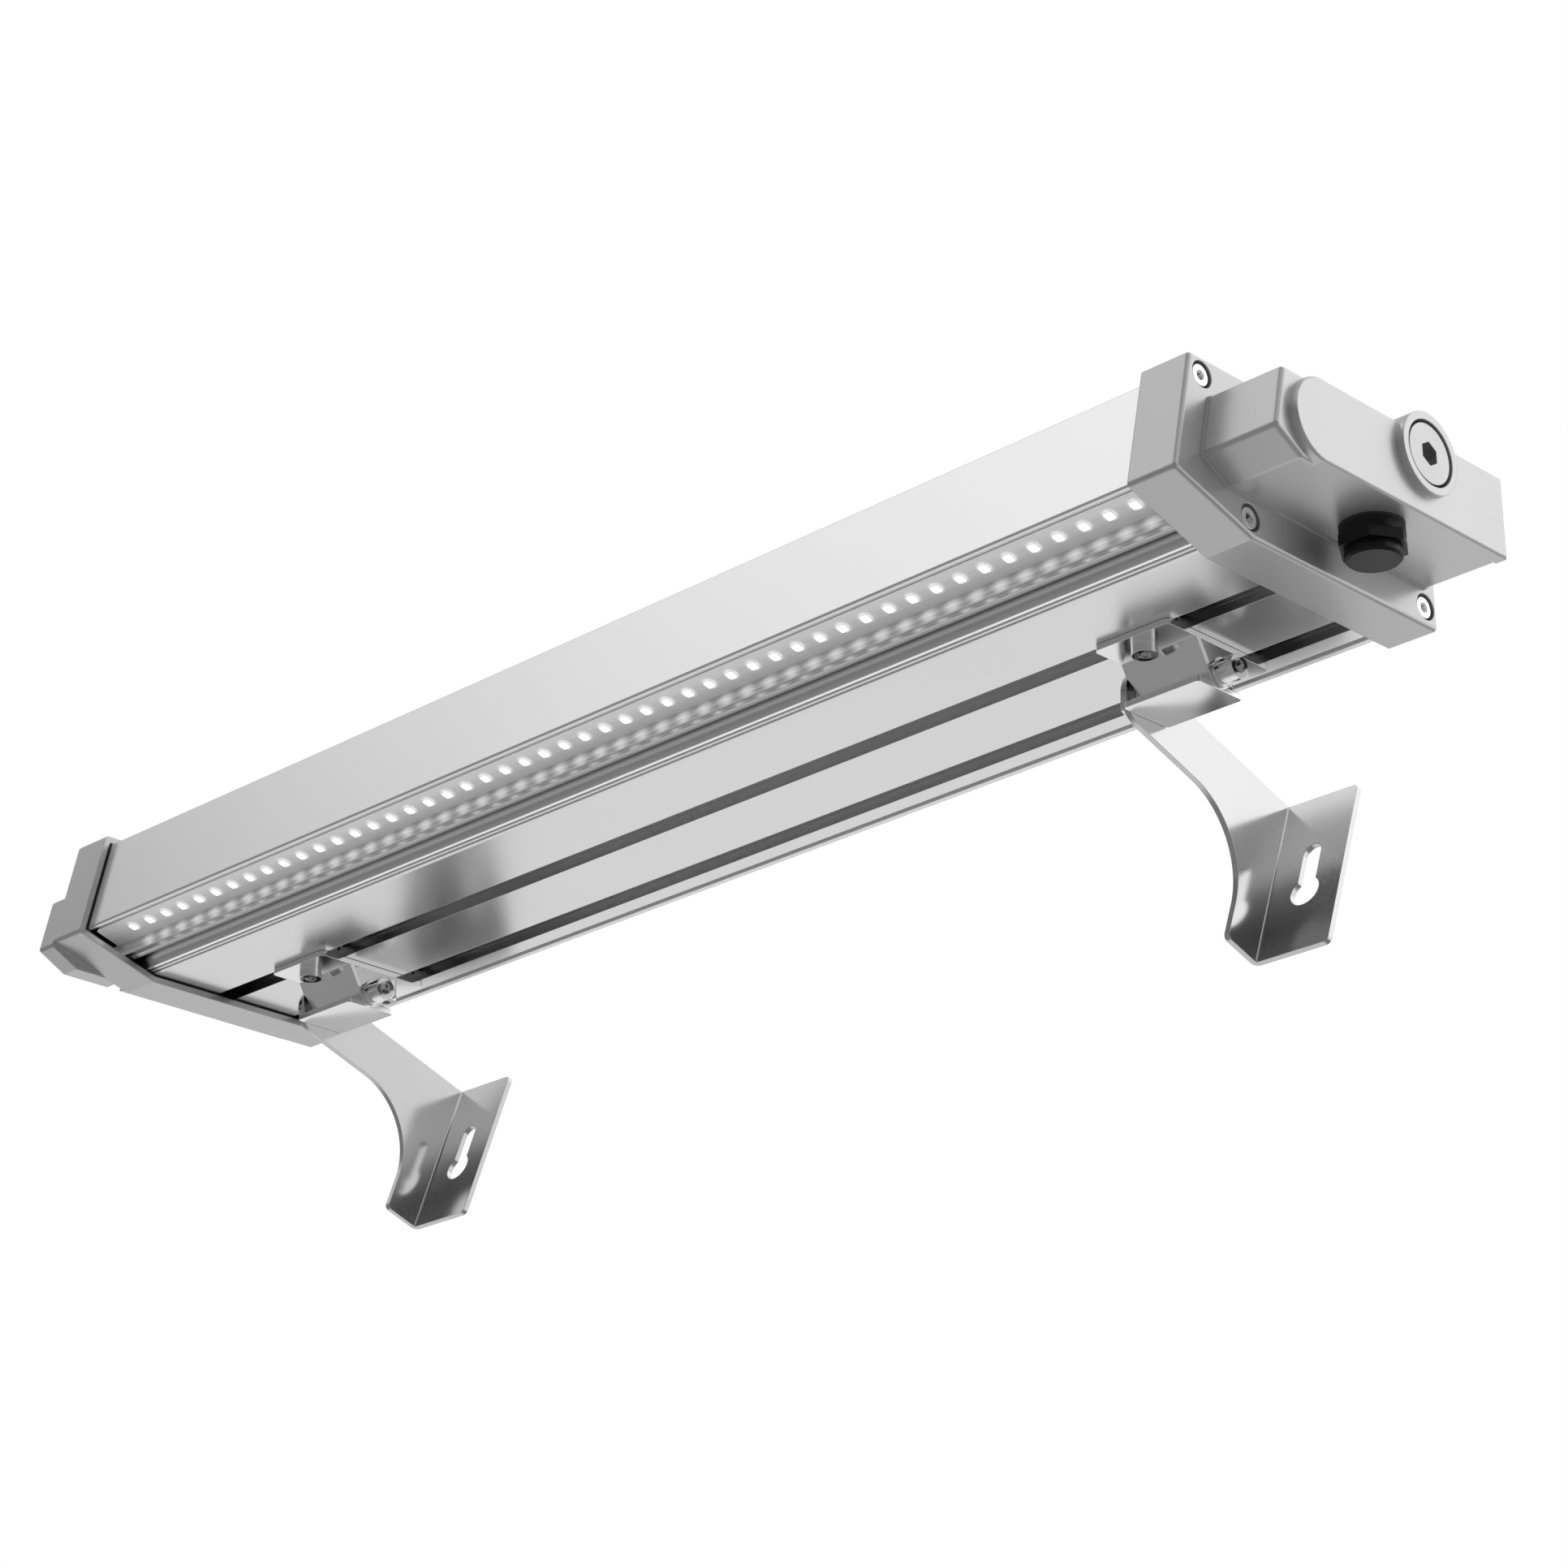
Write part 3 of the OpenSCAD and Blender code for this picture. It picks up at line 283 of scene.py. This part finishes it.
# A material with grain: two close colours mixed by the slow cloud, roughness moved by both noises,
# and a bump from the fine noise. A look with spots has a painted glow from the light row, and one
# with bands or ends has painted shade or a painted highlight mixed into its colour along them.
def grainMaterial(name, look):
    look = {**lookDefaults, **look}
    material, tree, shader = newMaterial(name)
    grain = addGrain(tree, -900, 100, {
        "Stretch": look["stretch"],
        "Fine Scale": look["fineScale"],
        "Patch Scale": look["patchScale"],
    })
    colour = addMix(tree, -500, 250, grain["Patch"], look["colour"], look["colour2"])
    # Painted shade and painted highlights: bands along X that mix their colour in, masked by the
    # row glow group with a reach along X far longer than the row
    for centre, reach, paintedBandColour in look["shadeAndHighlightBands"]:
        near = addRowGlow(tree, centre, look["paintedBandLength"], reach)
        colour = addMix(tree, -300, 400, near, colour, paintedBandColour)
    # Painted shade towards both ends along X
    if "ends" in look:
        ends = look["ends"]
        spot = addNode(tree, "ShaderNodeTexCoord", -1300, 900).outputs["Object"]
        alongX = addNode(tree, "ShaderNodeSeparateXYZ", -1150, 900, {0: spot}).outputs["X"]
        offset = addMath(tree, "SUBTRACT", -1000, 900, alongX, ends["middle"])
        distance = addMath(tree, "ABSOLUTE", -850, 900, offset)
        endShadeShare = addRange(tree, -700, 900, distance, ends["range"], kind="SMOOTHSTEP")
        colour = addMix(tree, -200, 500, endShadeShare, colour, ends["colour"])
    both = addMath(tree, "ADD", -700, -50, grain["Height"], grain["Patch"])
    halved = addMath(tree, "MULTIPLY", -600, -50, both, 0.5)
    smoothest = look["roughness"] - look["roughnessSpread"]
    roughest = look["roughness"] + look["roughnessSpread"]
    bump = addBump(tree, look, grain["Height"])
    if look["edge"] > 0:
        edge = addNode(tree, "ShaderNodeBevel", -600, -450, {"Radius": look["edge"]},
                       samples=look["edgeSamples"])
        feed(tree, bump, {"Normal": edge.outputs["Normal"]})
    feed(tree, shader, {
        "Base Color": colour,
        "Metallic": look["metallic"],
        "Specular IOR Level": look["specular"],
        "Roughness": addRange(tree, -500, 0, halved, toRange=(smoothest, roughest)),
        "Normal": bump.outputs["Normal"],
    })
    # Painted light: a glow that peaks at the light row's spots, or an even glow
    if "spots" in look:
        spots = look["spots"]
        near = addRowGlow(tree, wallMiddle, spots["reachX"], spots["reachAcross"])
        glow = addMath(tree, "MULTIPLY_ADD", -500, 700, near, spots["level"], look["glow"])
        feed(tree, shader, {"Emission Color": glow, "Emission Strength": 1.0})
    elif look["glow"] > 0:
        feed(tree, shader, {"Emission Color": white, "Emission Strength": look["glow"]})
    return material


metalLooks = {
    "profileAluminium": {  # satin anodised extrusion, drawn along X
        "colour": grey(0.74), "colour2": grey(0.78), "metallic": 1.0, "roughness": 0.24,
        "roughnessSpread": 0.03, "stretch": (0.02, 1, 1), "fineScale": 2600.0, "patchScale": 6.0,
        "bump": 0.02, "bumpDepth": 0.00005, "edge": 0.0003,
        "shadeAndHighlightBands": [
            # centre, reach and colour: painted shade in the concave groove, a painted highlight on
            # the lip behind it
            ((0.0, -0.1368, 0.022), 0.0056, grey(0.05)),
            ((0.0, -0.1311, 0.0212), 0.0009, grey(1.0)),
        ],
        # painted shade next to the caps: the distances from the middle where the painted shade
        # begins and is full
        "ends": {"middle": 0.0015, "range": (0.2587, 0.2662), "colour": grey(0.08)},
    },
    "castAluminium": {  # satin powder coat over a casting
        "colour": grey(0.6), "colour2": grey(0.64), "metallic": 0.6, "roughness": 0.34,
        "fineScale": 1500.0, "patchScale": 18.0, "bump": 0.05, "bumpDepth": 0.00012, "edge": 0.0006,
    },
    "boxAluminium": {
        "colour": grey(0.64), "colour2": grey(0.68), "metallic": 0.6, "roughness": 0.34,
        "fineScale": 1500.0, "patchScale": 22.0, "bump": 0.05, "bumpDepth": 0.00012, "edge": 0.0006,
    },
    "bracketSteel": {
        "colour": grey(0.57), "colour2": grey(0.6), "metallic": 1.0, "roughness": 0.16,
        "roughnessSpread": 0.02, "stretch": (1, 1, 0.03), "fineScale": 2400.0, "patchScale": 14.0,
        "bump": 0.01, "bumpDepth": 0.00002, "edge": 0.0003,
    },
    "clipSteel": {
        "colour": grey(0.84), "colour2": grey(0.88), "metallic": 1.0, "roughness": 0.16,
        "roughnessSpread": 0.02, "stretch": (0.03, 1, 1), "fineScale": 2400.0, "patchScale": 30.0,
        "bump": 0.015, "bumpDepth": 0.00003, "edge": 0.0003,
    },
    "boltSteel": {
        "colour": grey(0.8), "colour2": grey(0.88), "metallic": 1.0, "roughness": 0.09,
        "fineScale": 1800.0, "patchScale": 90.0, "bump": 0.03, "bumpDepth": 0.00004,
        "edge": 0.00035,
    },
    "capScrewSteel": {
        "colour": grey(0.85), "colour2": grey(0.9), "metallic": 1.0, "roughness": 0.14,
        "fineScale": 1800.0, "patchScale": 90.0, "bump": 0.03, "bumpDepth": 0.00004, "edge": 0.0004,
    },
    "plugAluminium": {
        "colour": grey(0.5), "colour2": grey(0.56), "metallic": 0.9, "roughness": 0.3,
        "fineScale": 1600.0, "patchScale": 60.0, "bump": 0.03, "bumpDepth": 0.00005, "edge": 0.0004,
    },
    "trayAluminium": {
        "colour": grey(0.55), "colour2": grey(0.62), "metallic": 1.0, "roughness": 0.35,
        "stretch": (0.05, 1, 1), "fineScale": 1500.0, "bump": 0.05, "bumpDepth": 0.00005,
    },
    "whiteReflector": {  # bright wall of the channel, with painted blurred reflections of the sources and a faint painted glow
        "colour": grey(0.62), "colour2": grey(0.66), "metallic": 1.0, "roughness": 0.34,
        "fineScale": 1500.0, "bump": 0.02, "bumpDepth": 0.00003,
        "glow": 0.09, "spots": {"level": 0.32, "reachX": 0.0052, "reachAcross": 0.0034},
    },
}
plainLooks = {
    "darkGasket": {
        "colour": grey(0.03), "colour2": grey(0.045), "roughness": 0.62, "specular": 0.35,
        "fineScale": 1200.0, "patchScale": 40.0, "bump": 0.15, "bumpDepth": 0.00008,
    },
    "clearSilicone": {  # translucent, so the light row makes it glow a little: a painted glow
        "colour": grey(0.5), "colour2": grey(0.56), "roughness": 0.42, "specular": 0.45,
        "stretch": (0.1, 1, 1), "fineScale": 1200.0, "patchScale": 40.0,
        "bump": 0.06, "bumpDepth": 0.00005,
        "glow": 0.12, "spots": {"level": 0.34, "reachX": 0.0048, "reachAcross": 0.0034},
    },
    # the package body glows a little: painted light from its lit window
    "packageWhite": {
        "colour": grey(0.8), "colour2": grey(0.84), "roughness": 0.4, "glow": 0.3,
        "fineScale": 1600.0, "patchScale": 120.0, "bump": 0.05, "bumpDepth": 0.00004,
    },
    "paleGasket": {
        "colour": grey(0.6), "colour2": grey(0.66), "roughness": 0.5, "specular": 0.4,
        "fineScale": 1200.0, "patchScale": 40.0, "bump": 0.1, "bumpDepth": 0.00006,
    },
    "greyTape": {
        "colour": grey(0.24), "colour2": grey(0.3), "roughness": 0.7, "specular": 0.3,
        "fineScale": 1600.0, "bump": 0.2, "bumpDepth": 0.00006,
    },
    "whitePlastic": {
        "colour": grey(0.78, 0.01), "colour2": grey(0.82, 0.01), "roughness": 0.45,
        "fineScale": 1400.0, "bump": 0.12, "bumpDepth": 0.00006, "edge": 0.0004,
    },
    "blackPlastic": {
        "colour": grey(0.004), "colour2": grey(0.007), "roughness": 0.38, "specular": 0.3,
        "fineScale": 1400.0, "patchScale": 60.0, "bump": 0.12, "bumpDepth": 0.00006, "edge": 0.0004,
    },
    "redLead": {
        "colour": hexColour("#b03a30"), "colour2": hexColour("#9c3028"), "roughness": 0.3,
        "fineScale": 1400.0, "bump": 0.08, "bumpDepth": 0.00005,
    },
    "brownLead": {
        "colour": hexColour("#5b4636"), "colour2": hexColour("#4d3a2c"), "roughness": 0.32,
        "fineScale": 1400.0, "bump": 0.08, "bumpDepth": 0.00005,
    },
}
looks = {**metalLooks, **plainLooks}
materials = {name: grainMaterial(name, look) for name, look in looks.items()}
print("grain materials:", len(materials))


# White solder mask with faint printed tracks along the board, and fine grain over both. It has a
# painted glow round each source, and more towards its front edge, for the light that the channel
# throws back.
boardLook = {
    "mask": grey(0.7), "track": grey(0.64), "pitch": 0.0034, "trackShare": 0.16,
    "roughness": 0.4, "bump": 0.08, "bumpDepth": 0.00005, "halo": 0.85, "reach": 0.0033,
    # Y of the front and the rear edge, and the painted glow there
    "edgeY": (-0.1533, -0.1428), "edgeGlow": (0.28, 0.05),
}


def boardMaterial(look):
    material, tree, shader = newMaterial("whiteBoard")
    spot = addNode(tree, "ShaderNodeTexCoord", -1200, 0).outputs["Object"]
    alongY = addNode(tree, "ShaderNodeSeparateXYZ", -1000, 0, {0: spot}).outputs["Y"]
    inPitches = addMath(tree, "DIVIDE", -800, 0, alongY, look["pitch"])
    wrapped = addMath(tree, "FRACT", -650, 0, inPitches)
    onTrack = addMath(tree, "LESS_THAN", -500, 0, wrapped, look["trackShare"])
    slope = addRange(tree, -700, 400, alongY, look["edgeY"], look["edgeGlow"])
    near = addRowGlow(tree, rowMiddle, look["reach"], look["reach"])
    grain = addGrain(tree, -600, -300)
    feed(tree, shader, {
        "Base Color": addMix(tree, -300, 100, onTrack, look["mask"], look["track"]),
        "Roughness": look["roughness"],
        "Emission Color": addMath(tree, "MULTIPLY_ADD", -500, 700, near, look["halo"], slope),
        "Emission Strength": 1.0,
        "Normal": addBump(tree, look, grain["Height"]).outputs["Normal"],
    })
    return material


# Clear cover: smooth glass that lets lamp light through without caustics
coverLook = {
    "colour": grey(0.98), "ior": 1.06, "roughness": 0.02,
    "fineScale": 60.0, "bump": 0.02, "bumpDepth": 0.0001,
}


def coverMaterial(look):
    material, tree, shader = newMaterial("clearCover")
    grain = addGrain(tree, -600, -300, {"Fine Scale": look["fineScale"]})
    feed(tree, shader, {
        "Base Color": look["colour"],
        "Metallic": 0.0,
        "Transmission Weight": 1.0,
        "IOR": look["ior"],
        "Roughness": look["roughness"],
        "Normal": addBump(tree, look, grain["Height"]).outputs["Normal"],
    })
    clear = addNode(tree, "ShaderNodeBsdfTransparent", 100, -200)
    swapShader(tree, shader, clear.outputs["BSDF"], ("Is Shadow Ray", "Is Diffuse Ray"))
    return material


# Lit phosphor: its two light colours are mixed by the fine noise
litLook = {
    "colour": (0.95, 0.95, 0.9, 1), "roughness": 0.35, "strength": 1.7,
    "light": white, "light2": (0.96, 0.97, 0.97, 1), "fineScale": 500.0,
}


def litMaterial(look):
    material, tree, shader = newMaterial("litLed")
    grain = addGrain(tree, -600, 0, {"Fine Scale": look["fineScale"]})
    feed(tree, shader, {
        "Base Color": look["colour"],
        "Roughness": look["roughness"],
        "Emission Color": addMix(tree, -300, 0, grain["Height"], look["light"], look["light2"]),
        "Emission Strength": look["strength"],
    })
    return material


materials["whiteBoard"] = boardMaterial(boardLook)
materials["clearCover"] = coverMaterial(coverLook)
materials["litLed"] = litMaterial(litLook)

finishOf = {
    "bracketSteel": ["bracket_left", "bracket_right"],
    "clipSteel": ["clip_left", "clip_right"],
    "boltSteel": ["pivot_bolts", "pivot_washers", "spring_washers", "pivot_nuts", "clip_screws",
                  "slot_nuts", "box_screws"],
    "capScrewSteel": ["cap_screws_left", "cap_screws_right"],
    "profileAluminium": ["housing_profile"],
    "castAluminium": ["end_cap_left", "end_cap_right"],
    "boxAluminium": ["connection_box"],
    "plugAluminium": ["screw_plug"],
    "trayAluminium": ["driver_tray"],
    "darkGasket": ["cap_gasket_left", "cap_gasket_right", "plug_o_ring", "blanking_seal",
                   "lead_grommet"],
    "clearSilicone": ["lens_seals"],
    "paleGasket": ["box_gasket"],
    "greyTape": ["thermal_tape"],
    "whitePlastic": ["led_driver", "terminal_block"],
    "blackPlastic": ["blanking_plug"],
    "redLead": ["led_leads"],
    "brownLead": ["supply_leads"],
    "whiteReflector": ["reflector"],
    "whiteBoard": ["led_board"],
    "clearCover": ["cover_lens"],
    "litLed": ["led_chips"],
}
for finish, names in finishOf.items():
    for name in names:
        for place in nodes[name].material_slots:
            place.material = materials[finish]
print("finishes given to", sum(len(names) for names in finishOf.values()), "nodes")


# Light sources: each is a white package with rounded corners and a lit window in its outer face.
# The shares are of a package's side, and the window's is of its half side.
packageSetup = {
    "cornerShare": 0.22, "cornerSteps": 5, "rimShare": 0.06, "windowShare": 0.96,
}


# A square of half side 1, anticlockwise: at each corner a quarter circle of the given radius, about
# a point that lies that radius in from both sides
def roundedSquare(radius, steps):
    quarterTurn = math.pi / 2
    corner, step = np.divmod(np.arange(4 * (steps + 1)), steps + 1)
    middle = (corner + 0.5) * quarterTurn
    angle = (corner + step / steps) * quarterTurn
    return np.stack([
        np.copysign(1 - radius, np.cos(middle)) + radius * np.cos(angle),
        np.copysign(1 - radius, np.sin(middle)) + radius * np.sin(angle),
    ], axis=1)


# A source's centre, side, outward direction and height: outward is the way in which its corners
# are spread least, away from the board
def packageFrame(corners, boardMiddle):
    centre = corners.mean(axis=0)
    flat = corners[:, 1:] - centre[1:]
    leastSpread = np.linalg.eigh(flat.T @ flat)[1][:, 0]
    out = np.array([0.0, *leastSpread])
    out *= math.copysign(1, np.dot(centre - boardMiddle, out))
    return centre, np.ptp(corners[:, 0]), out, np.ptp(corners @ out)


# Each package is a stack of rounded squares, which differ in half side and in height over the
# middle: foot, shoulder, rim, window's edge and window
def makePackages(setup):
    boardMiddle = spotsOf(nodes["led_board"]).mean(axis=0)
    frames = [packageFrame(corners, boardMiddle) for corners in chipCorners]
    centre, side, out, high = (np.array(values) for values in zip(*frames))
    along = np.array([1.0, 0.0, 0.0])
    across = np.cross(out, along)
    half, top, rim = side / 2, high / 2, setup["rimShare"] * side
    window = setup["windowShare"] * half
    size = np.stack([half, half, half - rim / 2, window, window - rim / 2], axis=1)
    lift = np.stack([-top, top - rim / 2, top, top, top - rim / 3], axis=1)
    litFrom = 3  # the window's edge

    # arrays of package, ring, point and coordinate
    outline = roundedSquare(2 * setup["cornerShare"], setup["cornerSteps"])
    offset = size[:, :, None, None] * outline
    verts = (centre[:, None, None]
             + offset[..., :1] * along
             + offset[..., 1:] * across[:, None, None]
             + lift[:, :, None, None] * out[:, None, None])

    packages, rings, points = verts.shape[:3]
    first = np.arange(packages)[:, None] * rings * points
    ring, point = np.divmod(np.arange((rings - 1) * points), points)
    low = first + ring * points + point
    beside = first + ring * points + (point + 1) % points
    walls = np.stack([low, beside, beside + points, low + points], axis=2).reshape(-1, 4)
    windows = first + (rings - 1) * points + np.arange(points)
    feet = first + np.arange(points)[::-1]
    faces = walls.tolist() + windows.tolist() + feet.tolist()
    litWalls = np.tile(ring >= litFrom, packages)
    lit = np.concatenate([litWalls, np.ones(packages), np.zeros(packages)])

    mesh = bpy.data.meshes.new("lightPackages")
    mesh.from_pydata(verts.reshape(-1, 3).tolist(), [], faces)
    mesh.materials.append(materials["packageWhite"])
    mesh.materials.append(materials["litLed"])
    mesh.polygons.foreach_set("material_index", lit.astype(np.int32))
    mesh.update()
    piece = bpy.data.objects.new("lightPackages", mesh)
    bpy.context.scene.collection.objects.link(piece)
    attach(piece, "housing")
    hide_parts("led_chips")
    print("light packages:", packages * rings * points, "vertices")


makePackages(packageSetup)

# Studio: the lobes are soft lights far off, each with a direction, the cosines where it begins and
# is full, and its level over the base level; a negative level is a dark screen
studio = {
    "floorZ": -1.3, "floorSize": 12.0, "floorColour": grey(0.8), "floorRoughness": 0.9,
    "base": 0.28,
    "lobes": [
        ((-0.48, -0.68, 0.56), 0.88, 1.0, 0.72),
        ((-0.65, 0.68, -0.34), 0.6, 0.95, 0.56),
        ((0.65, 0.48, 0.59), 0.45, 0.95, 0.98),
        ((0.0, 0.0, 1.0), 0.1, 1.0, 0.35),
        ((0.65, -0.48, 0.59), 0.55, 0.95, -0.42),
        ((0.8, 0.4, 0.44), 0.95, 1.0, -0.45),
    ],
    "lamps": [
        # name, place, looks at, size, power
        ("keyLamp", (1.4, -1.6, 1.2), (0, -0.08, 0.04), 1.6, 4.0),
    ],
    "whiteTo": ("Is Camera Ray", "Is Transmission Ray"),
}


# Pale floor that is plain white to the camera and through the cover
def floorMaterial(setup):
    material, tree, shader = newMaterial("paleFloor")
    feed(tree, shader, {"Base Color": setup["floorColour"], "Roughness": setup["floorRoughness"]})
    glow = addNode(tree, "ShaderNodeEmission", 0, -200, {"Color": white})
    swapShader(tree, shader, glow.outputs["Emission"], setup["whiteTo"])
    return material


def makeFloor(setup):
    side, z = setup["floorSize"] / 2, setup["floorZ"]
    corners = [(-side, -side, z), (side, -side, z), (side, side, z), (-side, side, z)]
    mesh = bpy.data.meshes.new("floor")
    mesh.from_pydata(corners, [], [(0, 1, 2, 3)])
    mesh.materials.append(floorMaterial(setup))
    floor = bpy.data.objects.new("floor", mesh)
    bpy.context.scene.collection.objects.link(floor)
    floor.visible_glossy = False
    floor.visible_diffuse = False


def makeLamp(name, place, target, size, power):
    lampData = bpy.data.lights.new(name, "AREA")
    lampData.shape = "DISK"
    lampData.size = size
    lampData.energy = power
    lamp = bpy.data.objects.new(name, lampData)
    way = Vector(target) - Vector(place)
    turn = way.to_track_quat("-Z", "Y").to_matrix().to_4x4()
    lamp.matrix_world = Matrix.Translation(place) @ turn
    bpy.context.scene.collection.objects.link(lamp)


# The world is white to the camera and through the cover. To all other rays its level is the base
# level and, for each lobe, a smooth step of the dot product of the ray and the lobe's direction.
def makeWorld(setup):
    world = bpy.data.worlds.new("studio")
    world.use_nodes = True
    bpy.context.scene.world = world
    tree = world.node_tree
    ray = addNode(tree, "ShaderNodeTexCoord", -1300, 0).outputs["Generated"]
    level = setup["base"]
    for row, (way, begins, full, strength) in enumerate(setup["lobes"]):
        y = -250 * row
        dot = addVectorMath(tree, "DOT_PRODUCT", "Value", -1100, y, ray, Vector(way).normalized())
        step = addRange(tree, -900, y, dot, (begins, full), (0.0, strength), "SMOOTHSTEP")
        level = addMath(tree, "ADD", -600 + 100 * row, 0, level, step)
    seen = rayMask(tree, -300, 400, setup["whiteTo"])
    feed(tree, tree.nodes["Background"], {"Color": addMix(tree, 100, 100, seen, level, white)})


makeFloor(studio)
for lamp in studio["lamps"]:
    makeLamp(*lamp)
makeWorld(studio)
print("studio lit:", len(studio["lobes"]), "lobes,", len(studio["lamps"]), "lamp")
